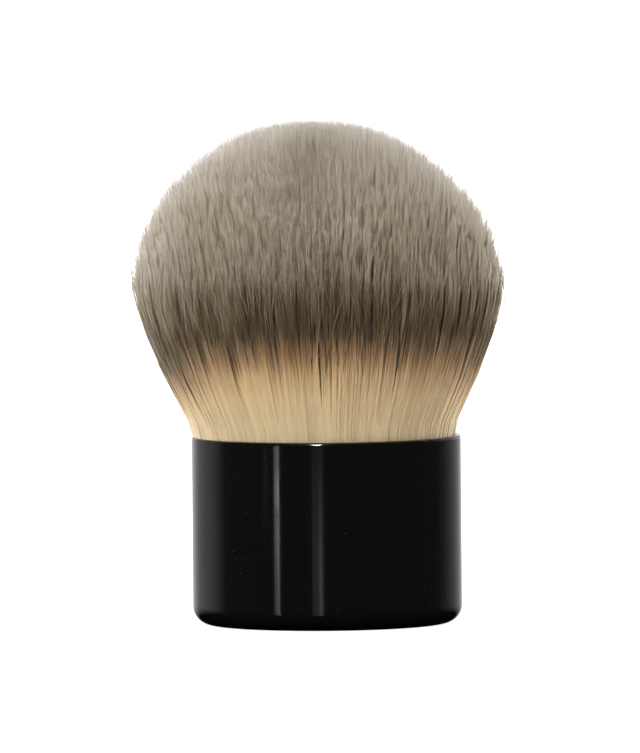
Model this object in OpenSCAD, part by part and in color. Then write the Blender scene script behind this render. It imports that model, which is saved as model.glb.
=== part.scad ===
// Kabuki makeup brush: a weighted handle shell, a ferrule cup that holds the
// glued knot, and a domed head of bristles. Everything stands on one axis.
// Millimetres, +Z up, origin at the centre of the underside.

/* [Handle] */
// Outside diameter of the handle
handle_d = 35; // [32:0.5:40]
// Height of the handle, from the underside to the rim
handle_h = 24.5; // [22:0.5:32]
// Wall of the handle around the ferrule cup
shell_wall = 1; // [0.8:0.1:1.4]
// Floor of the handle above the recess
floor_t = 1.5; // [1.2:0.1:2]
// Rounding between the side and the underside
base_round = 2.4; // [1.6:0.1:3]
// Rounding on the outside of the rim
rim_round = 0.4; // [0.3:0.05:0.7]
// Depth of the recess in the underside
foot_recess = 0.4; // [0.2:0.1:0.6]
// Width of the flat ring that the brush stands on
foot_ring = 2.6; // [2:0.1:3.5]

/* [Weight] */
// Diameter of the steel weight
weight_d = 25; // [20:0.5:27]
// Thickness of the steel weight
weight_t = 4; // [3:0.5:5.5]
// Gap round the weight, inside the ribs
weight_gap = 0.2; // [0.1:0.05:0.4]
// Gap between the weight and the ferrule cup above it
weight_headroom = 0.3; // [0.2:0.1:0.6]
// Thickness of the double-sided tape under the weight
tape_t = 0.4; // [0.2:0.1:0.8]
// How far the tape stays inside the weight's edge
tape_inset = 1; // [0.5:0.1:2]
// Ribs that carry the ferrule cup
rib_count = 6; // [4:1:8]
// Thickness of one rib
rib_w = 1.4; // [1:0.1:2]

/* [Ferrule cup] */
// Wall of the ferrule cup
cup_wall = 0.45; // [0.3:0.05:0.6]
// Floor of the ferrule cup
cup_floor = 0.6; // [0.4:0.05:1]
// Outside rounding between the cup's wall and floor
cup_corner = 1.2; // [0.8:0.1:1.8]
// How far the cup's mouth lies below the handle's rim
cup_drop = 1; // [0.6:0.1:2]
// Gap between the cup and the handle's bore
cup_gap = 0.05; // [0.03:0.01:0.1]
// Depth of the glue groove in the handle's bore
groove_depth = 0.3; // [0.2:0.05:0.4]
// Height of the glue groove
groove_h = 1.5; // [1:0.1:2.5]
// Height of the glue groove above the cup's foot
groove_rise = 6; // [4:0.5:9]

/* [Knot] */
// Depth of the glue line below the handle's rim
glue_depth = 6; // [5:0.5:8]
// Resin between the roots and the cup's wall
resin_skin = 0.4; // [0.35:0.05:0.8]
// Resin under the roots
resin_floor = 1.2; // [0.8:0.1:2]
// Diameter of the binding thread
thread_d = 0.5; // [0.3:0.05:0.6]
// Turns of the binding thread, side by side
thread_turns = 5; // [3:1:7]
// Height of the binding above the foot of the roots
thread_rise = 3; // [2:0.5:4]

/* [Bristles] */
// Widest diameter of the head
head_d = 48.2; // [42:0.2:54]
// Height of the widest level above the handle's rim
head_rise = 18.9; // [16:0.1:24]
// Height of the dome above the widest level
dome_h = 22; // [16:0.1:28]
// How far the sides of the head swell out of a straight line
side_swell = 1.2; // [0:0.1:2]
// Rows of bristles round the middle, with 6 more in each row
bristle_rows = 11; // [10:1:12]
// Width of a bristle where it is widest, as a share of its room in the row
bristle_fill = 0.7; // [0.4:0.02:0.8]
// Thickness of a bristle there, as a share of its width
bristle_flatness = 0.55; // [0.4:0.05:0.7]
// Depth below the handle's rim at which the bristles start to fan out
fan_depth = 1; // [0.6:0.1:1.2]
// Thickness of the slice of root that the bristles grow from
slice_t = 0.8; // [0.5:0.1:1.2]
// How far the bristles' lengths differ
length_spread = 1.2; // [0:0.1:2]

/* [Hidden] */
$fn = 96;

overlap = 0.2;         // how far a rib reaches into the wall and the floor
cut = 1;               // how far a cutter reaches past what it cuts
lead_share = 0.8;      // inner rounding of the rim, as a share of what the outer one leaves
first_row_share = 0.4; // row 1's distance from the middle, in rows
shoulder_from = 0.6;   // where a bristle is widest, as a share of its free length
shoulder_to = 0.78;
shoulder_seed = 5;     // picks the pattern of the widest places
length_seed = 7;       // picks the pattern of the bristles' lengths
row_turn = 0.618;      // each row's turn past the last one, in bristles

handle_r = handle_d / 2;
bore_r = handle_r - shell_wall;
bore_round = base_round - shell_wall;
rim_lead = (shell_wall - rim_round) * lead_share;
foot_r = handle_r - base_round;
recess_r = foot_r - foot_ring;
floor_z = foot_recess + floor_t;

weight_r = weight_d / 2;
weight_z = floor_z + tape_t;
rib_z = weight_z + weight_t + weight_headroom;

cup_r = bore_r - cup_gap;
cup_bore_r = cup_r - cup_wall;
cup_bore_round = cup_corner - cup_wall;
cup_floor_z = rib_z + cup_floor;
lip_round = cup_wall / 2;
lip_z = handle_h - cup_drop - lip_round;
groove_z = rib_z + groove_rise;

root_r = cup_bore_r - resin_skin;
root_z = cup_floor_z + resin_floor;
glue_z = handle_h - glue_depth;
thread_z = root_z + thread_rise;
thread_h = thread_d * thread_turns;

head_r = head_d / 2;
fan_z = handle_h - fan_depth;
widest_z = handle_h + head_rise;
slice_z = glue_z + slice_t;
lattice_rings = 2 * bristle_rows;

// ---- outlines, in the plane of radius and height ----

// A block from the axis out to r, with its lower edge rounded.
module block_outline(r, low, high, low_round) {
    translate([0, low]) square([r - low_round, high - low]);
    translate([0, low + low_round]) square([r, high - low - low_round]);
    translate([r - low_round, low + low_round]) circle(low_round);
}

module shell_outline() {
    difference() {
        union() {
            block_outline(handle_r, 0, handle_h - rim_round, base_round);
            translate([0, handle_h - rim_round]) square([handle_r - rim_round, rim_round]);
            translate([handle_r - rim_round, handle_h - rim_round]) circle(rim_round);
        }
        translate([0, -cut]) square([recess_r, foot_recess + cut]);
        block_outline(bore_r, floor_z, handle_h + cut, bore_round);
        rim_lead_outline();
    }
}

// What the rounding inside the rim takes away.
module rim_lead_outline() {
    translate([bore_r, handle_h - rim_lead]) difference() {
        square([rim_lead, rim_lead + cut]);
        translate([rim_lead, 0]) circle(rim_lead);
    }
}

module cup_outline() {
    difference() {
        block_outline(cup_r, rib_z, lip_z, cup_corner);
        block_outline(cup_bore_r, cup_floor_z, lip_z + cut, cup_bore_round);
    }
    translate([cup_r - lip_round, lip_z]) circle(lip_round);
}

// ---- the handle ----

module handle_shell() {
    color("#101011") {
        difference() {
            union() {
                rotate_extrude() shell_outline();
                for (i = [0:rib_count - 1]) rotate([0, 0, i * 360 / rib_count]) rib();
            }
            translate([0, 0, groove_z]) cylinder(r = bore_r + groove_depth, h = groove_h);
        }
    }
}

// A rib stands beside the weight and carries the cup.
module rib() {
    inner = weight_r + weight_gap;
    translate([inner, -rib_w / 2, floor_z - overlap])
        cube([bore_r + overlap - inner, rib_w, rib_z - floor_z + overlap]);
}

module steel_weight() {
    color("#8d9094") translate([0, 0, weight_z]) cylinder(r = weight_r, h = weight_t);
}

module weight_tape() {
    color("#e8e4d8") translate([0, 0, floor_z]) cylinder(r = weight_r - tape_inset, h = tape_t);
}

// ---- the ferrule cup and the knot in it ----

module ferrule_cup() {
    color("#b9bcc0") rotate_extrude() cup_outline();
}

module glue_ring() {
    color("#e3dcc4") translate([0, 0, groove_z]) difference() {
        cylinder(r = bore_r + groove_depth, h = groove_h);
        translate([0, 0, -cut]) cylinder(r = cup_r, h = groove_h + 2 * cut);
    }
}

// The resin fills the cup round and under the roots, up to the glue line.
module resin_bed() {
    color("#c98f3c") difference() {
        rotate_extrude() block_outline(cup_bore_r, cup_floor_z, glue_z, cup_bore_round);
        translate([0, 0, root_z]) cylinder(r = root_r, h = glue_z - root_z + cut);
        binding_band();
    }
}

// The roots, soaked in resin, are one hard puck with a waist for the thread.
module root_puck() {
    color("#cdae78") difference() {
        translate([0, 0, root_z]) cylinder(r = root_r, h = glue_z - root_z);
        binding_band();
    }
}

module binding_thread() {
    color("#f1ede2") binding_band();
}

// The turns lie side by side, half in the waist and half proud of it.
module binding_band() {
    translate([0, 0, thread_z]) difference() {
        cylinder(r = root_r + thread_d / 2, h = thread_h);
        translate([0, 0, -cut]) cylinder(r = root_r - thread_d / 2, h = thread_h + 2 * cut);
    }
}

// ---- the bristles ----

// The slice's top is a net of rings, 6 points in the first and 6 more in each
// next one. Every second triangle of every second ring is the foot of a
// bristle, so all of them and the slice are one closed skin.

function ring_start(ring) = ring == 0 ? 0 : 1 + 3 * ring * (ring - 1);
function net_id(ring, i) = ring == 0 ? 0 : ring_start(ring) + i % (6 * ring);
function net_point(ring, i) =
    let (r = root_r * ring / lattice_rings, a = ring == 0 ? 0 : i * 60 / ring)
    [r * cos(a), r * sin(a), slice_z];

net_count = ring_start(lattice_rings + 1);
rim_count = 6 * lattice_rings;

net_points = [for (ring = [0:lattice_rings]) for (i = [0:max(6 * ring, 1) - 1])
    net_point(ring, i)];
under_points = [for (i = [0:rim_count - 1]) let (p = net_point(lattice_rings, i))
    [p[0], p[1], glue_z]];

// One bristle for each [row, sector, step].
bristles = [for (row = [1:bristle_rows]) for (sector = [0:5]) for (step = [0:row - 1])
    [row, sector, step]];
shoulder_shares = rands(shoulder_from, shoulder_to, len(bristles), shoulder_seed);
shortfalls = rands(0, length_spread, len(bristles), length_seed);

function foot_ids(b) = let (ring = 2 * b[0], i = 2 * b[2])
    [net_id(ring, b[1] * ring + i), net_id(ring, b[1] * ring + i + 1),
     net_id(ring - 1, b[1] * (ring - 1) + i)];

// A bristle stands upright up to its bend, then fans out and ends on the dome.
function row_share(row) =
    (row - 1 + first_row_share) / (bristle_rows - 1 + first_row_share);
function tip_at(share) = [head_r * sin(90 * share), widest_z + dome_h * cos(90 * share)];
function path_at(start, share, t) =
    let (end = tip_at(share), middle = (start + end) / 2 + [2 * side_swell * share, 0])
    (1 - t) * (1 - t) * start + 2 * t * (1 - t) * middle + t * t * end;

// Each row is turned against the last one, so that no gap runs through the head.
function turn_at(row) = (row * row_turn % 1 - 0.5) * 60 / row;

// A triangle round the path, with one flat side outwards. q is [radius, height].
function cross_section(q, a, w, thick) =
    [for (p = [[thick / 3, -w / 2], [thick / 3, w / 2], [-2 * thick / 3, 0]])
        [(q[0] + p[0]) * cos(a) - p[1] * sin(a), (q[0] + p[0]) * sin(a) + p[1] * cos(a), q[1]]];

function bristle_points(b, shoulder_share, shortfall) =
    let (foot = [for (id = foot_ids(b)) net_points[id]],
         centre = (foot[0] + foot[1] + foot[2]) / 3,
         foot_a = atan2(centre[1], centre[0]),
         tip_a = foot_a + turn_at(b[0]),
         share = row_share(b[0]),
         bend = [norm([centre[0], centre[1]]), fan_z],
         foot_w = norm(foot[1] - foot[0]),
         full = norm(tip_at(share) - bend),
         shoulder = path_at(bend, share, shoulder_share),
         shoulder_w = bristle_fill * 2 * shoulder[0] * sin(30 / b[0]),
         tip = path_at(bend, share, 1 - shortfall / full))
    concat(cross_section(bend, foot_a, foot_w, foot_w * sin(60)),
           cross_section(shoulder, tip_a, shoulder_w, shoulder_w * bristle_flatness),
           [[tip[0] * cos(tip_a), tip[0] * sin(tip_a), tip[1]]]);

bristle_point_count = 7;
bristles_start = net_count + rim_count;
all_points = concat(net_points, under_points,
    [for (n = [0:len(bristles) - 1])
        each bristle_points(bristles[n], shoulder_shares[n], shortfalls[n])]);

// Faces run clockwise when seen from outside.
function wall(low, high) = [for (i = [0:2]) let (j = (i + 1) % 3)
    each [[low[i], high[i], low[j]], [low[j], high[i], high[j]]]];

function bristle_faces(n) =
    let (foot = foot_ids(bristles[n]), s = bristles_start + n * bristle_point_count,
         bend = [s, s + 1, s + 2], shoulder = [s + 3, s + 4, s + 5], tip = s + 6)
    concat(wall(foot, bend), wall(bend, shoulder),
           [for (i = [0:2]) [shoulder[i], tip, shoulder[(i + 1) % 3]]]);

function is_foot(ring, i) = ring % 2 == 0 && i % 2 == 0;

// Triangles with their long side on the outer ring, without the bristles' feet,
// and then those with their long side on the inner ring.
net_faces = [for (ring = [1:lattice_rings]) for (sector = [0:5]) each concat(
    [for (i = [0:ring - 1]) if (!is_foot(ring, i))
        [net_id(ring, sector * ring + i), net_id(ring - 1, sector * (ring - 1) + i),
         net_id(ring, sector * ring + i + 1)]],
    [for (i = [0:1:ring - 2])
        [net_id(ring, sector * ring + i + 1), net_id(ring - 1, sector * (ring - 1) + i),
         net_id(ring - 1, sector * (ring - 1) + i + 1)]])];

edge_faces = [for (i = [0:rim_count - 1])
    let (j = (i + 1) % rim_count, top = ring_start(lattice_rings), under = net_count)
    each [[top + i, top + j, under + i], [top + j, under + j, under + i]]];
under_faces = [for (i = [1:rim_count - 2]) [net_count, net_count + i, net_count + i + 1]];

module bristle_head() {
    color("#a89c86") polyhedron(all_points, concat(net_faces, edge_faces, under_faces,
        [for (n = [0:len(bristles) - 1]) each bristle_faces(n)]));
}

handle_shell();
weight_tape();
steel_weight();
ferrule_cup();
glue_ring();
resin_bed();
root_puck();
binding_thread();
bristle_head();
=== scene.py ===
import math

import bpy
import numpy as np
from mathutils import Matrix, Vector
from mathutils.kdtree import KDTree


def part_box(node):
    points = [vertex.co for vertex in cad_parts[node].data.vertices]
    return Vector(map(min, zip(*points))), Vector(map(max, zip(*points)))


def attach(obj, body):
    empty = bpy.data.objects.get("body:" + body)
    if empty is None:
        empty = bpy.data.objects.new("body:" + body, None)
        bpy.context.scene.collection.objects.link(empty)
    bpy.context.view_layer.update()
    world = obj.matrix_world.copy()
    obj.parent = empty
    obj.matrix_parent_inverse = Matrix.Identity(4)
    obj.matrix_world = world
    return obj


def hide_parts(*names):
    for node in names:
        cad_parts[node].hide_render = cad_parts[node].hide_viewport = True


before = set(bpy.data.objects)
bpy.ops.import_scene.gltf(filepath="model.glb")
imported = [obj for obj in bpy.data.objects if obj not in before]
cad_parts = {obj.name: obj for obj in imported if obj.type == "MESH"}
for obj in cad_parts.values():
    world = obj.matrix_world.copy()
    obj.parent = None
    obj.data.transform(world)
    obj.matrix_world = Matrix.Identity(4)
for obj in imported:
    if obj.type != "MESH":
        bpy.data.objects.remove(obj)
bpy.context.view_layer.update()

mm = 0.001
tiny = 1e-6  # keeps a division away from zero

# heights and radii that the hair takes from the solids
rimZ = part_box("handle_shell")[1].z
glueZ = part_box("root_puck")[1].z
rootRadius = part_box("root_puck")[1].x
cupRadius, _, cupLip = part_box("ferrule_cup")[1]


# camera

camera = {
    "distance": 3000 * mm,
    "height": 207 * mm,
    "aim": (-0.75 * mm, 0, 32.1 * mm),
    "lens": 1106,
    "sensor": 36,
    "clip": (10 * mm, 50),
    "roll": -0.48,  # degrees, the brush leans a little to the left
}


def addCamera(s):
    bpy.ops.object.camera_add(location=(s["aim"][0], -s["distance"], s["height"]))
    cam = bpy.context.object
    look = Vector(s["aim"]) - cam.location
    cam.rotation_euler = look.to_track_quat("-Z", "Y").to_euler()
    cam.rotation_euler.rotate_axis("Z", math.radians(s["roll"]))
    cam.data.lens = s["lens"]
    cam.data.sensor_width = s["sensor"]
    cam.data.clip_start, cam.data.clip_end = s["clip"]
    bpy.context.scene.camera = cam


addCamera(camera)
print("camera set")


# shader helpers

def startMaterial(name):
    material = bpy.data.materials.new(name)
    material.use_nodes = True
    tree = material.node_tree
    shader = next(n for n in tree.nodes if n.type == "BSDF_PRINCIPLED")
    return material, tree, shader


def startBare(name):
    # without the usual shader, for what gives light itself
    material = bpy.data.materials.new(name)
    material.use_nodes = True
    tree = material.node_tree
    tree.nodes.clear()
    return material, tree, addNode(tree, "ShaderNodeOutputMaterial")


def feed(tree, socket, value):
    if isinstance(value, bpy.types.NodeSocket):
        tree.links.new(value, socket)
    else:
        socket.default_value = value


def addNode(tree, kind, values=None, **inputs):
    node = tree.nodes.new(kind)
    for key, value in (values or {}).items():
        setattr(node, key, value)
    for key, value in inputs.items():
        feed(tree, node.inputs[key], value)
    return node


def addMath(tree, operation, *values):
    node = addNode(tree, "ShaderNodeMath", {"operation": operation})
    for socket, value in zip(node.inputs, values):
        feed(tree, socket, value)
    return node.outputs[0]


def addRange(tree, value, start, end):
    node = addNode(tree, "ShaderNodeMapRange", Value=value)
    for name, number in zip(("From Min", "From Max", "To Min", "To Max"), (*start, *end)):
        node.inputs[name].default_value = number
    return node.outputs[0]


def addMix(tree, factor, first, second, blend="MIX"):
    node = addNode(tree, "ShaderNodeMix", {"data_type": "RGBA", "blend_type": blend}, Factor=factor)
    feed(tree, node.inputs[6], first)
    feed(tree, node.inputs[7], second)
    return node.outputs[2]


def addRamp(tree, factor, stops):
    node = addNode(tree, "ShaderNodeValToRGB", Fac=factor)
    ramp = node.color_ramp
    while len(ramp.elements) < len(stops):
        ramp.elements.new(1.0)
    for element, (place, colour) in zip(ramp.elements, stops):
        element.position = place
        element.color = (*colour, 1) if len(colour) == 3 else (colour[0],) * 3 + (1,)
    return node.outputs["Color"]


def linear(red, green, blue):
    return tuple((c / 255 / 12.92) if c <= 10 else ((c / 255 + 0.055) / 1.055) ** 2.4
                 for c in (red, green, blue))


# hair

hair = {
    "strands": 72000,
    "clumps": 4800,
    "wisps": 520,              # narrow slices round the head that share the reach of their pale tips
    "wispShare": 0.7,          # how much of that reach they share
    "seed": 11,
    "scatter": 0.3,            # of the even places, times the puck's radius over the root of the count
    "shares": (0.002, 0.999),  # the innermost and outermost place, as shares of the puck's radius
    "thick": 0.1 * mm,
    "tipThick": 0.25,          # share of the thickness where the point begins
    "taper": 6 * mm,           # length over which a strand gets thin
    "inCup": 0.1,              # share of a strand that is packed in the cup
    "rimGap": 0.1 * mm,        # between the hair and the bore of the cup
    "cupWall": 0.45 * mm,
    "widestRadius": 23.8 * mm,
    "widestZ": 43.4 * mm,
    "domeHeight": 21.7 * mm,
    "shoulder": 0.45 * mm,     # how much fuller than round the dome is near its top
    "lastTip": 85,             # degrees from the top of the dome to the tips of the outermost strands
    "tipPower": 1.45,          # above 1 more strands end on the crown than at the sides
    "bow": (4.3 * mm, 3.5 * mm),  # the outermost strands swing half of it outwards and up
    "bowPower": 4,             # the strands further in swing less
    "spread": 0.12 * mm,       # of the strands in a clump, and of the clumps
    "clumpSpread": 0.3 * mm,
    "strayShare": 0.15,        # some strands stray further than the others
    "straySpread": 2.0 * mm,
    "inwardShare": 0.35,       # a strand strays less inwards and outwards than sideways
    "lengthSpread": (0.3 * mm, 0.55 * mm),  # of the strands, on the crown and at the sides
    "clumpLength": (0.1 * mm, 0.65 * mm),   # and of the clumps
    "longest": 1.4 * mm,       # no strand stands further out of the dome
    "reach": 24.2 * mm,        # or strays further from the axis
    "clumpPull": (0.45, 0.88),
    "crownPull": 0.2,          # how much of the clumps' pull is left on the crown
    "looseFrom": 0.25,         # the clumps form beyond this share of the length
    "loosePower": 1.5,
    "tipLoose": 0.35,          # how far the ends of a clump spread again
    "tipLooseOver": 3 * mm,
    "crown": (0.5, 0.85),      # between these shares the crown turns into the sides
    "skin": (0.88, 0.96),      # and from here on a strand belongs to the head's skin
    "leanAtRim": -0.35 * mm,
    "leanPerHeight": -0.0275,
    "outerShare": 0.9,         # strands beyond it are whole, those inside start in the core
    "outerCuts": (0.19, 0.4, 0.6, 0.76, 0.86, 0.94),
    "innerCuts": (0.4, 0.72, 0.88),
    "innerStart": 0.7,
    "outerPiece": 4800,        # at most so many strands in a piece
    "innerPiece": 8900,
    "columns": 64,             # of the map, one for each tone
    "columnWidth": 0.35,       # how far a strand spreads from the middle of its column
    "roughness": 0.55,
    "specular": 0.3,
    "sheen": 0.12,
    "sheenRoughness": 0.4,
    "glow": 0.35,              # light that goes into the hair and comes out again
    "glowReach": (1, 0.9, 0.8),
    "glowDepth": 0.3 * mm,
    "softShade": (0.55, 0.9),  # how far a strand's shading follows the head: at its widest level,
    "softOver": 14 * mm,       # and this far above or below it
    "facingDown": -0.25,       # the most that the head's surface faces down for that
}

# heights above the foot, and the colour of the hair there
dye = {
    "low": 18 * mm,
    "high": 68 * mm,
    "stops": (
        (18, linear(152, 132, 102)),
        (26, linear(190, 167, 128)),
        (31, linear(198, 168, 124)),
        (33.5, linear(180, 147, 104)),
        (36, linear(132, 101, 66)),
        (39, linear(66, 52, 35)),
        (45, linear(44, 36, 24)),
        (50, linear(88, 75, 56)),
        (55, linear(90, 76, 57)),
        (62, linear(101, 88, 66)),
        (68, linear(118, 107, 83)),
    ),
    "toneStops": ((0, (0.5,)), (0.5, (1.0,)), (1, (1.5,))),
    "tone": (0.04, 0.04),              # spread of the tones, by strand and by clump
    "lowerEdge": (0.5 * mm, 0.6 * mm),  # of the dark band's lower edge, by strand and by clump
    "upperEdge": (3.0 * mm, 5.5 * mm),  # and of its upper edge, by strand and by wisp
    "darkest": 45 * mm,        # below its pale tip a strand keeps under this height on the dye
    "palest": 52 * mm,         # and in its pale tip over this one
    "paleFrom": 40.5 * mm,     # the pale tips show above this height
    "paleOver": 5 * mm,
    # partly painted shade: the tips are dyed pale, and the dark dye that follows soon below them also stands
    # for the shade deeper in the hair
    "tipLength": (2.6 * mm, 7 * mm),     # of the pale tips, from the shortest to the longest,
    "skinTipLength": (4 * mm, 24 * mm),  # and of those in the head's skin
    "tipPale": 1.15,           # above 1 the last part of a tip is wholly pale
    "runShare": 0.04,          # some strands carry the dye further down, thinly
    "runLength": 6 * mm,
    "runLevel": 36.6 * mm,
    # painted light: at the left and right edges, as the camera sees them, the band is drawn lower and the
    # pale tips longer, for rim light and light through the hair, more on the left
    "leftEdgeLight": 11 * mm,       # painted light: how much lower the dark band lies at the sides, and how much longer the pale tips are there
    "rightEdgeLight": 7 * mm,
    "edgeLightPower": 4,
    "edgeLightTop": 62 * mm,        # no painted edge light above this height, and all of it the next span lower
    "edgeLightOver": 12 * mm,
    "edgeLightLowerShare": 0.45,         # the share of that painted edge light that the band's lower edge takes
    "mapEdges": (0.002, 0.998),
}


def modelStrand(cuts):
    # one strand of length 1: a three-sided cone, cut into lengths
    bpy.ops.object.select_all(action="DESELECT")
    bpy.ops.mesh.primitive_cone_add(vertices=3, radius1=1, radius2=0, depth=1, location=(0, 0, 0.5))
    strand = bpy.context.object
    bpy.ops.object.transform_apply(location=True, rotation=True, scale=True)
    bpy.ops.object.mode_set(mode="EDIT")
    for cut in cuts:
        bpy.ops.mesh.select_all(action="SELECT")
        bpy.ops.mesh.bisect(plane_co=(0, 0, cut), plane_no=(0, 0, 1))
    bpy.ops.object.mode_set(mode="OBJECT")
    points = np.array([v.co[:] for v in strand.data.vertices])
    faces = [tuple(p.vertices) for p in strand.data.polygons]
    bpy.data.objects.remove(strand, do_unlink=True)
    return points, faces


def strandPath(s, share, along):
    # radius, height and length: up out of the cup, then fanning out to the dome,
    # whose shoulder ends 45 degrees down
    inCup = s["inCup"]
    low = (cupRadius - s["cupWall"] - s["rimGap"]) * share
    turn = np.radians(s["lastTip"]) * share ** s["tipPower"]
    tipRadius = s["widestRadius"] * np.sin(turn)
    tipHeight = s["widestZ"] + s["domeHeight"] * np.cos(turn)
    tipHeight = tipHeight + s["shoulder"] * np.sin(np.clip(4 * turn, 0, math.pi))
    t = np.clip((along - inCup) / (1 - inCup), 0, None)
    swing = 2 * t * (1 - t) * share ** s["bowPower"]
    radius = low + (tipRadius - low) * t + s["bow"][0] * swing
    height = cupLip + (tipHeight - cupLip) * t + s["bow"][1] * swing
    packed = along < inCup
    up = np.clip(along / inCup, 0, 1)
    radius = np.where(packed, rootRadius * share + (low - rootRadius * share) * up, radius)
    height = np.where(packed, glueZ + (cupLip - glueZ) * up, height)
    length = np.hypot(tipRadius - low, tipHeight - cupLip) + cupLip - glueZ
    return radius, height, length


def leanHead(s, x, z):
    # the whole head leans a little, and lies over the rim on one side
    above = np.clip((z - cupLip) / (rimZ - cupLip), 0, 1)
    return x + s["leanAtRim"] * above + s["leanPerHeight"] * np.maximum(z - rimZ, 0)


def shareOf(value, start, end):
    return np.clip((value - start) / (end - start), 0, 1)


def mixPair(pair, share):
    return pair[0] + (pair[1] - pair[0]) * share


def drawStrands(s, d):
    # an even spiral over the puck, and what differs from strand to strand
    rng = np.random.default_rng(s["seed"])
    count, clumps, wisps = s["strands"], s["clumps"], s["wisps"]
    share = np.sqrt((np.arange(count) + 0.5) / count)
    share = np.clip(share + rng.normal(0, s["scatter"] / math.sqrt(count), count), *s["shares"])
    angle = np.arange(count) * math.pi * (3 - math.sqrt(5))
    angle = angle + rng.normal(0, s["scatter"], count) / (share * math.sqrt(count) + 1)
    flat = np.stack([share * np.cos(angle), share * np.sin(angle), 0 * share], 1)

    # each strand belongs to the clump whose middle is nearest
    leads = rng.choice(count, clumps, replace=False)
    tree = KDTree(clumps)
    for k, i in enumerate(leads):
        tree.insert(flat[i], k)
    tree.balance()
    clump = np.array([tree.find(p)[1] for p in flat])
    wisp = np.floor(angle / (2 * math.pi) * wisps).astype(int) % wisps

    def scatter(spread, group, groups):
        # by strand, and by the clump or wisp that it is in
        return rng.normal(0, spread[0], count) + rng.normal(0, spread[1], groups)[group]

    side = shareOf(share, *s["crown"])
    outermost = shareOf(share, *s["skin"])
    random = s["wispShare"] * rng.random(wisps)[wisp] + (1 - s["wispShare"]) * rng.random(count)
    stray = rng.random(count) < s["strayShare"]
    longer = rng.normal(0, 1, count) * mixPair(s["lengthSpread"], side)
    longer = longer + rng.normal(0, 1, clumps)[clump] * mixPair(s["clumpLength"], side)
    pull = rng.uniform(*s["clumpPull"], clumps)[clump] * mixPair((s["crownPull"], 1), side)
    shift = rng.normal(0, 1, (count, 2)) * np.where(stray, s["straySpread"], s["spread"])[:, None]
    shift = shift + rng.normal(0, s["clumpSpread"], (clumps, 2))[clump]
    tone = scatter(d["tone"], clump, clumps)
    lower = scatter(d["lowerEdge"], clump, clumps)
    upper = scatter(d["upperEdge"], wisp, wisps)
    runs = rng.random(count) < d["runShare"]
    return {
        "share": share,
        "angle": angle,
        "leadShare": share[leads[clump]],
        "leadAngle": angle[leads[clump]],
        "pull": pull,
        "shift": shift,
        "longer": np.minimum(longer, s["longest"]),
        "tone": tone,
        "lower": lower,
        "upper": upper,
        "pale": mixPair((mixPair(d["tipLength"], random), mixPair(d["skinTipLength"], random)), outermost),
        "run": np.where(runs, rng.random(count), 0) * d["runLength"],
        "spin": rng.uniform(0, 2 * math.pi, count),
    }


def bendStrands(s, own, along):
    # the middle line of each strand, and the distance from its tip
    away = own["angle"]
    length = strandPath(s, own["share"], along)[2]
    grown = along * (1 + own["longer"] / length)

    def follow(share, angle):
        radius, height, _ = strandPath(s, share, grown)
        return np.stack([radius * np.cos(angle), radius * np.sin(angle), height], -1)

    middle = follow(own["share"], away)
    lead = follow(own["leadShare"], own["leadAngle"])
    fromTip = (1 - along) * length
    sway = np.clip((along - s["looseFrom"]) / (1 - s["looseFrom"]), 0, 1) ** s["loosePower"]
    pull = own["pull"] * sway * (1 - s["tipLoose"] * np.clip(1 - fromTip / s["tipLooseOver"], 0, 1))
    middle += (lead - middle) * pull[..., None]
    across = own["shift"][..., 0] * sway
    inward = s["inwardShare"] * own["shift"][..., 1] * sway
    middle[..., 0] += -np.sin(away) * across + np.cos(away) * inward
    middle[..., 1] += np.cos(away) * across + np.sin(away) * inward

    most = np.where(middle[..., 2] < cupLip, cupRadius - s["cupWall"] - s["rimGap"], s["reach"])
    flat = np.hypot(middle[..., 0], middle[..., 1])
    middle[..., :2] *= np.minimum(1, most / np.maximum(flat, tiny))[..., None]
    middle[..., 0] = leanHead(s, middle[..., 0], middle[..., 2])
    return middle, fromTip


def shadeStrands(s, middle, turned):
    # between the strand's own direction and the head's: sideways low down, upwards on the dome
    rise = np.clip((middle[..., 2] - s["widestZ"]) / s["domeHeight"], s["facingDown"], 1)
    surface = np.stack([middle[..., 0] / s["widestRadius"], middle[..., 1] / s["widestRadius"], rise], -1)
    surface /= np.linalg.norm(surface, axis=-1, keepdims=True) + tiny
    far = np.clip(np.abs(middle[..., 2] - s["widestZ"]) / s["softOver"], 0, 1)
    soft = mixPair(s["softShade"], far)[..., None]
    shade = turned * (1 - soft) + surface * soft
    return shade / (np.linalg.norm(shade, axis=-1, keepdims=True) + tiny)


def dyeStrands(s, d, own, middle, fromTip, corners):
    # the map: across is the strand's own tone, up is the height on the dye
    # painted light: towards the camera's left and right edges the band is drawn lower and the pale tips reach
    # further, for rim light and light through the hair
    sideways = np.clip(middle[..., 0] / s["widestRadius"], -1, 1)
    edgeLight = np.where(sideways < 0, d["leftEdgeLight"], d["rightEdgeLight"]) * np.abs(sideways) ** d["edgeLightPower"]
    edgeLight = edgeLight * np.clip((d["edgeLightTop"] - middle[..., 2]) / d["edgeLightOver"], 0, 1)
    level = middle[..., 2] + edgeLight
    pale = np.clip((level + own["upper"] - d["paleFrom"]) / d["paleOver"], 0, 1)
    # partly painted shade: from its pale tip a strand turns to the dark dye, for the dye and for the shade
    # deeper in the hair
    pale = pale * np.clip(d["tipPale"] - fromTip / (own["pale"] + edgeLight), 0, 1)
    root = np.minimum(level - edgeLight * (1 - d["edgeLightLowerShare"]) + own["lower"], d["darkest"])
    root = np.maximum(root, np.minimum(level + own["run"], d["runLevel"]))
    level = root + (np.maximum(level, d["palest"] + edgeLight) - root) * pale
    up = np.clip((level - d["low"]) / (d["high"] - d["low"]), *d["mapEdges"])
    cell = np.clip(np.floor((0.5 + own["tone"]) * s["columns"]), 0, s["columns"] - 1)
    across = (cell + 0.5 + s["columnWidth"] * np.cos(corners)[None, :]) / s["columns"]
    return np.stack([across + 0 * up, up], -1)


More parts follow.
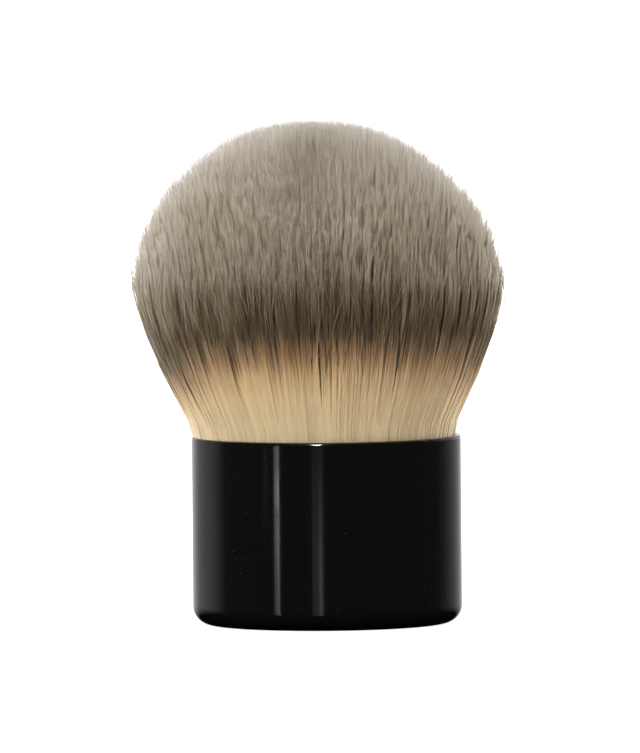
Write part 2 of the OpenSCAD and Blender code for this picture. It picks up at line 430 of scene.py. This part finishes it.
def placeStrands(s, d, own, start, points):
    # where each corner of each strand goes, with its shading direction and its place on the dye
    own = {name: values[:, None] for name, values in own.items()}
    along = start + (1 - start) * points[:, 2][None, :]
    middle, fromTip = bendStrands(s, own, along)
    thick = s["thick"] / 2 * (s["tipThick"] + (1 - s["tipThick"]) * np.clip(fromTip / s["taper"], 0, 1))
    thick = np.where(points[:, 2] < points[:, 2].max(), thick, 0)
    corners = np.arctan2(points[:, 1], points[:, 0])
    corner = corners[None, :] + own["spin"]
    away = own["angle"]
    side = np.stack([-np.sin(away), np.cos(away), 0 * away], -1)
    out = np.stack([np.cos(away), np.sin(away), 0 * away], -1)
    turned = np.cos(corner)[..., None] * out + np.sin(corner)[..., None] * side
    place = middle + thick[..., None] * turned
    return place, shadeStrands(s, middle, turned), dyeStrands(s, d, own, middle, fromTip, corners)


def buildPiece(name, faces, place, shade, uvs):
    strands, corners = place.shape[:2]
    loops = np.concatenate([np.array(f) for f in faces])
    loops = (loops[None, :] + np.arange(strands)[:, None] * corners).reshape(-1)
    sizes = np.tile([len(f) for f in faces], strands)
    mesh = bpy.data.meshes.new(name)
    mesh.vertices.add(strands * corners)
    mesh.vertices.foreach_set("co", place.astype(np.float32).ravel())
    mesh.loops.add(len(loops))
    mesh.loops.foreach_set("vertex_index", loops.astype(np.int32))
    mesh.polygons.add(len(sizes))
    mesh.polygons.foreach_set("loop_start", (np.cumsum(sizes) - sizes).astype(np.int32))
    mesh.polygons.foreach_set("use_smooth", np.ones(len(sizes), bool))
    mesh.update(calc_edges=True)
    layer = mesh.uv_layers.new(name="OFBake")
    layer.data.foreach_set("uv", uvs.reshape(-1, 2)[loops].astype(np.float32).ravel())
    mesh.normals_split_custom_set_from_vertices(shade.reshape(-1, 3).astype(np.float32))
    piece = bpy.data.objects.new(name, mesh)
    bpy.context.collection.objects.link(piece)
    return piece


def growHair(s, d):
    drawn = drawStrands(s, d)
    inner = drawn["share"] < s["outerShare"]
    made = []
    for name, members, cuts, start, most in (
            ("outerHair", np.flatnonzero(~inner), s["outerCuts"], 0.0, s["outerPiece"]),
            ("innerHair", np.flatnonzero(inner), s["innerCuts"], s["innerStart"], s["innerPiece"])):
        points, faces = modelStrand(cuts)
        pieces = math.ceil(len(members) / most)
        for k in range(pieces):
            own = {key: values[members[k::pieces]] for key, values in drawn.items()}
            made.append(buildPiece(f"{name}{k + 1}", faces, *placeStrands(s, d, own, start, points)))
    return made


def makeHairMaterial(s, d):
    material, tree, shader = startMaterial("dyedHair")
    uv = addNode(tree, "ShaderNodeUVMap", {"uv_map": "OFBake"})
    parts = addNode(tree, "ShaderNodeSeparateXYZ", Vector=uv.outputs["UV"])
    span = d["high"] - d["low"]
    stops = [((h * mm - d["low"]) / span, c) for h, c in d["stops"]]
    colour = addRamp(tree, parts.outputs["Y"], stops)
    tone = addRamp(tree, parts.outputs["X"], d["toneStops"])
    tree.links.new(addMix(tree, 1.0, colour, tone, "MULTIPLY"), shader.inputs["Base Color"])
    shader.inputs["Roughness"].default_value = s["roughness"]
    shader.inputs["Specular IOR Level"].default_value = s["specular"]
    shader.inputs["Subsurface Weight"].default_value = s["glow"]
    shader.inputs["Subsurface Radius"].default_value = s["glowReach"]
    shader.inputs["Subsurface Scale"].default_value = s["glowDepth"]
    shader.inputs["Sheen Weight"].default_value = s["sheen"]
    shader.inputs["Sheen Roughness"].default_value = s["sheenRoughness"]
    return material


# the dense middle of the knot, which the inner strands grow out of, in the dye's colours darkened by painted
# shade
core = {
    "share": 0.88,         # how far out it reaches, as a share of the puck's radius
    "top": 0.76,           # the share of a strand's length where it ends
    "middle": 0.05,        # the share of its last ring, which is closed flat
    "rings": 9,
    "sides": 96,
    "streaks": (9000, 9000, 500),
    "wobble": 0.12,
    "paintedShade": 0.45,          # painted shade: little light gets in between the strands
    "roughness": 0.9,
}


def buildCore(c, s, material):
    bpy.ops.object.select_all(action="DESELECT")
    rings = [strandPath(s, c["share"], t)[:2] for t in np.linspace(0, c["top"], c["rings"])]
    rings += [strandPath(s, q, c["top"])[:2] for q in np.linspace(c["share"], c["middle"], c["rings"])[1:]]
    rings = [(float(r), float(z)) for r, z in rings]
    bpy.ops.mesh.primitive_circle_add(vertices=c["sides"], radius=rings[0][0], fill_type="NGON",
                                      location=(0, 0, rings[0][1]))
    solid = bpy.context.object
    solid.name = "hairCore"
    bpy.ops.object.mode_set(mode="EDIT")
    bpy.ops.mesh.select_all(action="SELECT")
    for (r0, z0), (r1, z1) in zip(rings, rings[1:]):
        bpy.ops.mesh.extrude_region_move(TRANSFORM_OT_translate={"value": (0, 0, z1 - z0)})
        bpy.ops.transform.resize(value=(r1 / r0, r1 / r0, 1), center_override=(0, 0, z1))
    bpy.ops.mesh.select_all(action="SELECT")
    bpy.ops.mesh.normals_make_consistent(inside=False)
    bpy.ops.object.mode_set(mode="OBJECT")
    bpy.ops.object.transform_apply(location=True, rotation=True, scale=True)
    for v in solid.data.vertices:
        v.co.x = float(leanHead(s, v.co.x, v.co.z))
    bpy.ops.object.shade_smooth()
    solid.data.materials.append(material)
    return solid


def makeCoreMaterial(c, d):
    material, tree, shader = startMaterial("shadedPackedHair")
    where = addNode(tree, "ShaderNodeTexCoord")
    parts = addNode(tree, "ShaderNodeSeparateXYZ", Vector=where.outputs["Object"])
    span = d["high"] - d["low"]
    stretch = addNode(tree, "ShaderNodeMapping", Vector=where.outputs["Object"], Scale=c["streaks"])
    streak = addNode(tree, "ShaderNodeTexNoise", Vector=stretch.outputs[0], Scale=1.0, Detail=2.0)
    level = addRange(tree, parts.outputs["Z"], (d["low"], d["high"]), (0, 1))
    wobble = addMath(tree, "MULTIPLY", addMath(tree, "SUBTRACT", streak.outputs[0], 0.5), c["wobble"])
    # painted shade: the dye's colours darkened, for the little light deep in the knot
    stops = [((h * mm - d["low"]) / span, tuple(c["paintedShade"] * v for v in colour)) for h, colour in d["stops"]]
    colour = addRamp(tree, addMath(tree, "ADD", level, wobble), stops)
    tree.links.new(colour, shader.inputs["Base Color"])
    shader.inputs["Roughness"].default_value = c["roughness"]
    return material


hairMaterial = makeHairMaterial(hair, dye)
strandPieces = growHair(hair, dye)
for piece in strandPieces:
    piece.data.materials.append(hairMaterial)
hairCore = buildCore(core, hair, makeCoreMaterial(core, dye))
for piece in [hairCore, *strandPieces]:
    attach(piece, "root")
    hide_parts("bristle_head")
print("hair grown,", hair["strands"], "strands in", len(strandPieces), "pieces")


# shared surface effects

def startGroup(name, inputs, outputs):
    group = bpy.data.node_groups.new(name, "ShaderNodeTree")
    for title, kind, value in inputs:
        socket = group.interface.new_socket(title, in_out="INPUT", socket_type=kind)
        socket.default_value = value
    for title, kind in outputs:
        group.interface.new_socket(title, in_out="OUTPUT", socket_type=kind)
    return group, group.nodes.new("NodeGroupInput"), group.nodes.new("NodeGroupOutput")


def addGroup(tree, group, **inputs):
    node = tree.nodes.new("ShaderNodeGroup")
    node.node_tree = group
    for name, value in inputs.items():
        node.inputs[name].default_value = value
    return node


effects = {
    "scratchTurns": ((0.4, 0.2, 0.9), (0.1, 1.1, -0.5)),
    "scratchStretches": ((4000, 150, 4000), (150, 3500, 3500)),
    "scratchEdge": (0.66, 0.72),   # of the noise, from no scratch to a full one
    "wearClouds": 180.0,
    "wearEdge": (0.45, 0.7),
    "dustClouds": 120.0,
    "dustEdge": (0.5, 0.62),
}


def makeGrain():
    # noise drawn out along one direction, for threads and drawn metal
    group, given, out = startGroup("grain", (("Stretch", "NodeSocketVector", (2000, 2000, 200)),),
                                   (("Value", "NodeSocketFloat"),))
    where = addNode(group, "ShaderNodeTexCoord")
    drawn = addNode(group, "ShaderNodeMapping", Vector=where.outputs["Object"],
                    Scale=given.outputs["Stretch"])
    noise = addNode(group, "ShaderNodeTexNoise", Vector=drawn.outputs[0], Scale=1.0, Detail=4.0)
    group.links.new(noise.outputs[0], out.inputs["Value"])
    return group


def makeScuffs(s):
    # fine scratches in two directions, and the cloudy wear that they lie in
    group, given, out = startGroup("scuffs", (("Scale", "NodeSocketFloat", 1.0),),
                                   (("Mask", "NodeSocketFloat"),))
    where = addNode(group, "ShaderNodeTexCoord")
    sized = addNode(group, "ShaderNodeVectorMath", {"operation": "SCALE"}, Scale=given.outputs["Scale"])
    group.links.new(where.outputs["Object"], sized.inputs[0])
    masks = []
    for turn, stretch in zip(s["scratchTurns"], s["scratchStretches"]):
        laid = addNode(group, "ShaderNodeMapping", Vector=sized.outputs[0], Rotation=turn, Scale=stretch)
        noise = addNode(group, "ShaderNodeTexNoise", Vector=laid.outputs[0], Scale=1.0, Detail=2.0)
        masks.append(addRange(group, noise.outputs[0], s["scratchEdge"], (0, 1)))
    cloud = addNode(group, "ShaderNodeTexNoise", Vector=sized.outputs[0], Scale=s["wearClouds"], Detail=3.0)
    worn = addRange(group, cloud.outputs[0], s["wearEdge"], (0, 1))
    lines = addMath(group, "MULTIPLY", addMath(group, "MAXIMUM", *masks), worn)
    group.links.new(lines, out.inputs["Mask"])
    return group


def makeSpecks(s):
    # loose dust or bubbles: a few round points in the cells of a fine net
    group, given, out = startGroup(
        "specks", (("Scale", "NodeSocketFloat", 900.0), ("Size", "NodeSocketFloat", 0.05)),
        (("Mask", "NodeSocketFloat"),))
    where = addNode(group, "ShaderNodeTexCoord")
    cells = addNode(group, "ShaderNodeTexVoronoi", Vector=where.outputs["Object"],
                    Scale=given.outputs["Scale"])
    cloud = addNode(group, "ShaderNodeTexNoise", Vector=where.outputs["Object"], Scale=s["dustClouds"])
    few = addRange(group, cloud.outputs[0], s["dustEdge"], (0, 1))
    near = addMath(group, "LESS_THAN", cells.outputs["Distance"], given.outputs["Size"])
    group.links.new(addMath(group, "MULTIPLY", near, few), out.inputs["Mask"])
    return group


def addBump(tree, shader, height, strength, depth):
    bump = addNode(tree, "ShaderNodeBump", Strength=strength, Distance=depth, Height=height)
    tree.links.new(bump.outputs["Normal"], shader.inputs["Normal"])


def addWear(tree, s):
    # what the scuffs add to the roughness
    return addMath(tree, "MULTIPLY", addGroup(tree, scuffs, Scale=s["scuffScale"]).outputs["Mask"], s["wear"])


def dress(node, material):
    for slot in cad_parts[node].material_slots:
        slot.material = material


grain = makeGrain()
scuffs = makeScuffs(effects)
specks = makeSpecks(effects)
print("surface effects made")


# handle

handle = {
    "colour": (0.0022, 0.0022, 0.0023, 1),
    "dustColour": (0.03, 0.03, 0.028, 1),
    "dust": {"Scale": 900.0, "Size": 0.07},
    "roughness": (0.05, 0.12),
    "clouds": 220.0,
    "scuffScale": 1.0,
    "wear": 0.12,
    "ior": 1.5,
    "bump": (0.02, 0.05 * mm),     # strength and depth
}


def makeHandleMaterial(s):
    material, tree, shader = startMaterial("glossBlack")
    where = addNode(tree, "ShaderNodeTexCoord")
    noise = addNode(tree, "ShaderNodeTexNoise", Vector=where.outputs["Object"], Scale=s["clouds"], Detail=3.0)
    smooth = addRange(tree, noise.outputs[0], (0, 1), s["roughness"])
    dust = addGroup(tree, specks, **s["dust"]).outputs["Mask"]
    tree.links.new(addMath(tree, "ADD", smooth, addWear(tree, s)), shader.inputs["Roughness"])
    tree.links.new(addMix(tree, dust, s["colour"], s["dustColour"]), shader.inputs["Base Color"])
    shader.inputs["IOR"].default_value = s["ior"]
    addBump(tree, shader, noise.outputs[0], *s["bump"])
    return material


dress("handle_shell", makeHandleMaterial(handle))


# weight and its tape

weight = {
    "colour": ((0.3, (0.44, 0.45, 0.46)), (0.7, (0.58, 0.59, 0.61))),
    "clouds": 260.0,
    "roughness": (0.26, 0.42),
    "pitch": 0.25 * mm,    # between the turning marks
    "unitWave": 0.314,     # length of a wave of the rings at scale 1
    "unevenness": 0.6,
    "scuffScale": 1.3,
    "wear": 0.2,
    "bump": (0.3, 0.02 * mm),
}


def makeWeightMaterial(s):
    material, tree, shader = startMaterial("turnedSteel")
    where = addNode(tree, "ShaderNodeTexCoord")
    rings = addNode(tree, "ShaderNodeTexWave", {"wave_type": "RINGS", "rings_direction": "Z"},
                    Vector=where.outputs["Object"], Scale=s["unitWave"] / s["pitch"],
                    Distortion=s["unevenness"])
    cloud = addNode(tree, "ShaderNodeTexNoise", Vector=where.outputs["Object"], Scale=s["clouds"], Detail=4.0)
    rough = addRange(tree, rings.outputs["Fac"], (0, 1), s["roughness"])
    tree.links.new(addRamp(tree, cloud.outputs[0], s["colour"]), shader.inputs["Base Color"])
    tree.links.new(addMath(tree, "ADD", rough, addWear(tree, s)), shader.inputs["Roughness"])
    shader.inputs["Metallic"].default_value = 1.0
    addBump(tree, shader, rings.outputs["Fac"], *s["bump"])
    return material


tape = {
    "colour": ((0.1, (0.82, 0.8, 0.73)), (0.8, (0.66, 0.63, 0.55))),
    "cells": 2600.0,
    "roughness": 0.85,
    "bump": (0.5, 0.08 * mm),
}


def makeTapeMaterial(s):
    material, tree, shader = startMaterial("foamTape")
    where = addNode(tree, "ShaderNodeTexCoord")
    cells = addNode(tree, "ShaderNodeTexVoronoi", Vector=where.outputs["Object"], Scale=s["cells"])
    tree.links.new(addRamp(tree, cells.outputs["Distance"], s["colour"]), shader.inputs["Base Color"])
    shader.inputs["Roughness"].default_value = s["roughness"]
    addBump(tree, shader, cells.outputs["Distance"], *s["bump"])
    return material


dress("steel_weight", makeWeightMaterial(weight))
dress("weight_tape", makeTapeMaterial(tape))


# ferrule cup and glue

ferrule = {
    "colour": ((0.3, (0.66, 0.67, 0.69)), (0.7, (0.8, 0.81, 0.83))),
    "lines": (0.3, 0.7),   # of the noise, between which the roughness changes
    "roughness": (0.2, 0.38),
    "drawn": (6000, 6000, 260),
    "scuffScale": 1.1,
    "wear": 0.25,
    "bump": (0.25, 0.01 * mm),
}


def makeFerruleMaterial(s):
    material, tree, shader = startMaterial("drawnAluminium")
    lines = addGroup(tree, grain, Stretch=s["drawn"]).outputs["Value"]
    rough = addRange(tree, lines, s["lines"], s["roughness"])
    tree.links.new(addRamp(tree, lines, s["colour"]), shader.inputs["Base Color"])
    tree.links.new(addMath(tree, "ADD", rough, addWear(tree, s)), shader.inputs["Roughness"])
    shader.inputs["Metallic"].default_value = 1.0
    addBump(tree, shader, lines, *s["bump"])
    return material


# the glue and the resin: cloudy, with small bubbles
casts = {
    "glue_ring": {"colour": ((0.66, 0.6, 0.46), (0.8, 0.75, 0.62)), "roughness": 0.32, "bubbleSize": 0.1},
    "resin_bed": {"colour": ((0.42, 0.2, 0.05), (0.64, 0.38, 0.12)), "roughness": 0.16, "bubbleSize": 0.06},
}
castSurface = {
    "clouds": 350.0,
    "cloudEdge": (0.35, 0.65),
    "bubbleScale": 1400.0,
    "ior": 1.5,
    "coat": 0.3,
    "bump": (0.3, 0.1 * mm),
}


def makeCastMaterial(name, s, c):
    material, tree, shader = startMaterial(name + "Cast")
    where = addNode(tree, "ShaderNodeTexCoord")
    cloud = addNode(tree, "ShaderNodeTexNoise", Vector=where.outputs["Object"], Scale=c["clouds"], Detail=3.0)
    bubbles = addGroup(tree, specks, Scale=c["bubbleScale"], Size=s["bubbleSize"]).outputs["Mask"]
    colour = addRamp(tree, cloud.outputs[0], tuple(zip(c["cloudEdge"], s["colour"])))
    pale = addMix(tree, bubbles, colour, (*s["colour"][1], 1))
    tree.links.new(pale, shader.inputs["Base Color"])
    shader.inputs["Roughness"].default_value = s["roughness"]
    shader.inputs["IOR"].default_value = c["ior"]
    shader.inputs["Coat Weight"].default_value = c["coat"]
    addBump(tree, shader, cloud.outputs[0], *c["bump"])
    return material


dress("ferrule_cup", makeFerruleMaterial(ferrule))
for node, settings in casts.items():
    dress(node, makeCastMaterial(node, settings, castSurface))


# roots and their thread

roots = {
    "cells": 9000.0,
    "flatten": 0.04,       # the cells are long and stand upright, as the hairs do
    "colours": ((0.0, (0.36, 0.25, 0.13)), (0.5, (0.62, 0.48, 0.29)), (1.0, (0.78, 0.64, 0.42))),
    "gaps": ((0.35, (1.0,)), (0.75, (0.55,))),
    "roughness": 0.45,
    "bump": (0.4, -0.03 * mm),
}


def makeRootMaterial(s):
    # hair ends side by side in resin
    material, tree, shader = startMaterial("bondedRoots")
    where = addNode(tree, "ShaderNodeTexCoord")
    flat = addNode(tree, "ShaderNodeMapping", Vector=where.outputs["Object"], Scale=(1, 1, s["flatten"]))
    cells = addNode(tree, "ShaderNodeTexVoronoi", Vector=flat.outputs[0], Scale=s["cells"])
    tone = addNode(tree, "ShaderNodeSeparateColor", Color=cells.outputs["Color"])
    colour = addRamp(tree, tone.outputs[0], s["colours"])
    gap = addRamp(tree, cells.outputs["Distance"], s["gaps"])
    tree.links.new(addMix(tree, 1.0, colour, gap, "MULTIPLY"), shader.inputs["Base Color"])
    shader.inputs["Roughness"].default_value = s["roughness"]
    addBump(tree, shader, cells.outputs["Distance"], *s["bump"])
    return material


thread = {
    "colour": ((0.1, (0.62, 0.57, 0.46)), (0.5, (0.88, 0.85, 0.78))),
    "twist": (2500, 2500, 9000),
    "fibres": 0.3,
    "turns": 5,
    "roughness": 0.6,
    "bump": (0.8, 0.2 * mm),
}


def makeThreadMaterial(s):
    # turns side by side, each with the lie of its fibres, and painted shade darkening the grooves between
    # them
    material, tree, shader = startMaterial("waxedThread")
    where = addNode(tree, "ShaderNodeTexCoord")
    parts = addNode(tree, "ShaderNodeSeparateXYZ", Vector=where.outputs["Object"])
    low, high = (corner.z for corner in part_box("binding_thread"))
    turn = addRange(tree, parts.outputs["Z"], (low, high), (0, s["turns"]))
    across = addMath(tree, "PINGPONG", addMath(tree, "FRACT", turn), 0.5)
    fibres = addGroup(tree, grain, Stretch=s["twist"]).outputs["Value"]
    height = addMath(tree, "ADD", across, addMath(tree, "MULTIPLY", fibres, s["fibres"]))
    # painted shade: the colour darkens towards the grooves between the turns
    tree.links.new(addRamp(tree, height, s["colour"]), shader.inputs["Base Color"])
    shader.inputs["Roughness"].default_value = s["roughness"]
    addBump(tree, shader, height, *s["bump"])
    return material


dress("root_puck", makeRootMaterial(roots))
dress("binding_thread", makeThreadMaterial(thread))
print("solids dressed")


# studio

studio = {
    "backAxis": (-0.1, 0.995, 0),  # the reflected sheets are drawn round this direction
    "ambient": (0.15, 1.1),        # from the front to the back
    "darkBelow": (-0.25, -0.05),   # slopes between which the sheets go dark towards the floor
    "sidesBlend": (-0.1, 0.1),     # where the left sheet passes into the right one
    # how bright the sheets are from the front, 0, to the back, 1
    "leftSheet": ((0.0, (0.014,)), (0.62, (0.03,)), (0.69, (0.24,)), (0.75, (0.4,)), (0.93, (0.48,)),
                  (1.0, (0.9,))),
    "rightSheet": ((0.0, (0.012,)), (0.62, (0.02,)), (0.71, (0.1,)), (0.84, (0.3,)), (0.93, (0.55,)),
                   (1.0, (1.1,))),
    "floorRadius": 9,
    "floorSides": 64,
    "floorUnder": 0.02 * mm,       # the foot
    "floorColour": (0.35, 0.35, 0.35, 1),
    "floorGlow": (0.8, 1.0),       # near the brush and far from it
    "floorFade": (60 * mm, 260 * mm),
    "lampAim": (0, 0, 35 * mm),
    "cardSpan": (-200 * mm, -18.5 * mm),   # heights between which the cards stand
    "cardDistance": 0.7,
    "cardStep": 0.01,              # each card stands nearer than the one before it
}


def makeWorld(s):
    world = bpy.data.worlds.new("studio")
    bpy.context.scene.world = world
    world.use_nodes = True
    tree = world.node_tree
    back = tree.nodes["Background"]
    ways = addNode(tree, "ShaderNodeLightPath")
    where = addNode(tree, "ShaderNodeTexCoord")
    facing = addNode(tree, "ShaderNodeVectorMath", {"operation": "DOT_PRODUCT"})
    tree.links.new(where.outputs["Generated"], facing.inputs[0])
    facing.inputs[1].default_value = s["backAxis"]
    level = addMath(tree, "MULTIPLY_ADD", facing.outputs["Value"], 0.5, 0.5)
    parts = addNode(tree, "ShaderNodeSeparateXYZ", Vector=where.outputs["Generated"])
    rightward = addRange(tree, parts.outputs["X"], s["sidesBlend"], (0, 1))
    left = addRamp(tree, level, s["leftSheet"])
    right = addRamp(tree, level, s["rightSheet"])
    sheet = addMix(tree, rightward, left, right)
    below = addRange(tree, parts.outputs["Z"], s["darkBelow"], (0, 1))
    sheet = addMix(tree, 1.0, sheet, below, "MULTIPLY")
    around = addRange(tree, facing.outputs["Value"], (-1, 1), s["ambient"])
    soft = addMix(tree, ways.outputs["Is Glossy Ray"], around, sheet)
    tree.links.new(addMix(tree, ways.outputs["Is Camera Ray"], soft, (1, 1, 1, 1)), back.inputs["Color"])


def addFloor(s):
    bpy.ops.object.select_all(action="DESELECT")
    bpy.ops.mesh.primitive_circle_add(vertices=s["floorSides"], radius=s["floorRadius"],
                                      fill_type="NGON", location=(0, 0, -s["floorUnder"]))
    floor = bpy.context.object
    floor.name = "floor"
    material, tree, out = startBare("paleFloor")
    ways = addNode(tree, "ShaderNodeLightPath")
    matt = addNode(tree, "ShaderNodeBsdfDiffuse", Color=s["floorColour"])
    glow = addNode(tree, "ShaderNodeEmission", Color=(1, 1, 1, 1))
    where = addNode(tree, "ShaderNodeTexCoord")
    reach = addNode(tree, "ShaderNodeVectorMath", {"operation": "LENGTH"})
    tree.links.new(where.outputs["Object"], reach.inputs[0])
    level = addRange(tree, reach.outputs["Value"], s["floorFade"], s["floorGlow"])
    strength = addMath(tree, "MULTIPLY", ways.outputs["Is Camera Ray"], level)
    tree.links.new(strength, glow.inputs["Strength"])
    both = addNode(tree, "ShaderNodeAddShader")
    tree.links.new(matt.outputs[0], both.inputs[0])
    tree.links.new(glow.outputs[0], both.inputs[1])
    tree.links.new(both.outputs[0], out.inputs["Surface"])
    floor.data.materials.append(material)
    floor.visible_glossy = False


lamps = {
    "key": {"place": (-0.12, -0.75, 0.55), "size": 0.1, "power": 10, "shines": True},
    "top": {"place": (0.0, 0.05, 0.95), "size": 0.9, "power": 4, "shines": False},
    "left": {"place": (-0.9, -0.25, 0.5), "size": 0.6, "power": 3, "shines": False},
    "right": {"place": (0.9, -0.25, 0.45), "size": 0.6, "power": 4, "shines": False},
    "leftRim": {"place": (-0.75, 0.55, 0.25), "size": 0.5, "power": 16, "shines": False},
    "rightRim": {"place": (0.75, 0.55, 0.25), "size": 0.5, "power": 14, "shines": False},
}


def addLamps(lamps, target):
    for name, s in lamps.items():
        bpy.ops.object.light_add(type="AREA", location=s["place"])
        lamp = bpy.context.object
        lamp.name = name
        lamp.data.size = s["size"]
        lamp.data.energy = s["power"]
        aim = Vector(target) - lamp.location
        lamp.rotation_euler = aim.to_track_quat("-Z", "Y").to_euler()
        lamp.visible_glossy = s["shines"]


# tall narrow cards whose reflections stand on the handle: degrees round the brush and across,
# and the light at the two heights of the span
cards = {
    "leftCard": {"turn": -43.3, "wide": 4.2, "glow": (0.8, 4.4), "span": (-39 * mm, -16 * mm)},
    "leftEdge": {"turn": -41.8, "wide": 1.4, "glow": (1.7, 9.0), "span": (-39 * mm, -16 * mm)},
    "farCard": {"turn": -53.2, "wide": 5.6, "glow": (0.0, 0.5), "span": (-27 * mm, -18 * mm)},
    "middleCard": {"turn": -7.7, "wide": 9.4, "glow": (0.35, 0.32), "span": (-39 * mm, -16 * mm)},
    "middleLine": {"turn": -5.6, "wide": 2.4, "glow": (1.2, 0.32), "span": (-29 * mm, -24 * mm)},
}


def addCards(cards, studio):
    low, high = studio["cardSpan"]
    for k, (name, s) in enumerate(cards.items()):
        distance = studio["cardDistance"] - studio["cardStep"] * k
        turn = math.radians(s["turn"])
        width = 2 * distance * math.tan(math.radians(s["wide"]) / 2)
        bpy.ops.object.select_all(action="DESELECT")
        bpy.ops.mesh.primitive_plane_add(size=1, location=(0, 0, 0), rotation=(math.pi / 2, 0, 0))
        card = bpy.context.object
        card.name = name
        card.scale = (width, high - low, 1)
        bpy.ops.object.transform_apply(location=False, rotation=True, scale=True)
        card.location = (distance * math.sin(turn), -distance * math.cos(turn), (low + high) / 2)
        card.rotation_euler = (0, 0, turn)
        bpy.ops.object.transform_apply(location=True, rotation=True, scale=True)
        material, tree, out = startBare(name)
        where = addNode(tree, "ShaderNodeTexCoord")
        parts = addNode(tree, "ShaderNodeSeparateXYZ", Vector=where.outputs["Object"])
        strength = addRange(tree, parts.outputs["Z"], s["span"], s["glow"])
        glow = addNode(tree, "ShaderNodeEmission", Color=(1, 1, 1, 1))
        tree.links.new(strength, glow.inputs["Strength"])
        tree.links.new(glow.outputs[0], out.inputs["Surface"])
        card.data.materials.append(material)
        card.visible_camera = False
        card.visible_diffuse = False
        card.visible_shadow = False


makeWorld(studio)
addFloor(studio)
addLamps(lamps, studio["lampAim"])
addCards(cards, studio)
bpy.context.scene.view_settings.view_transform = "Standard"
print("studio lit")
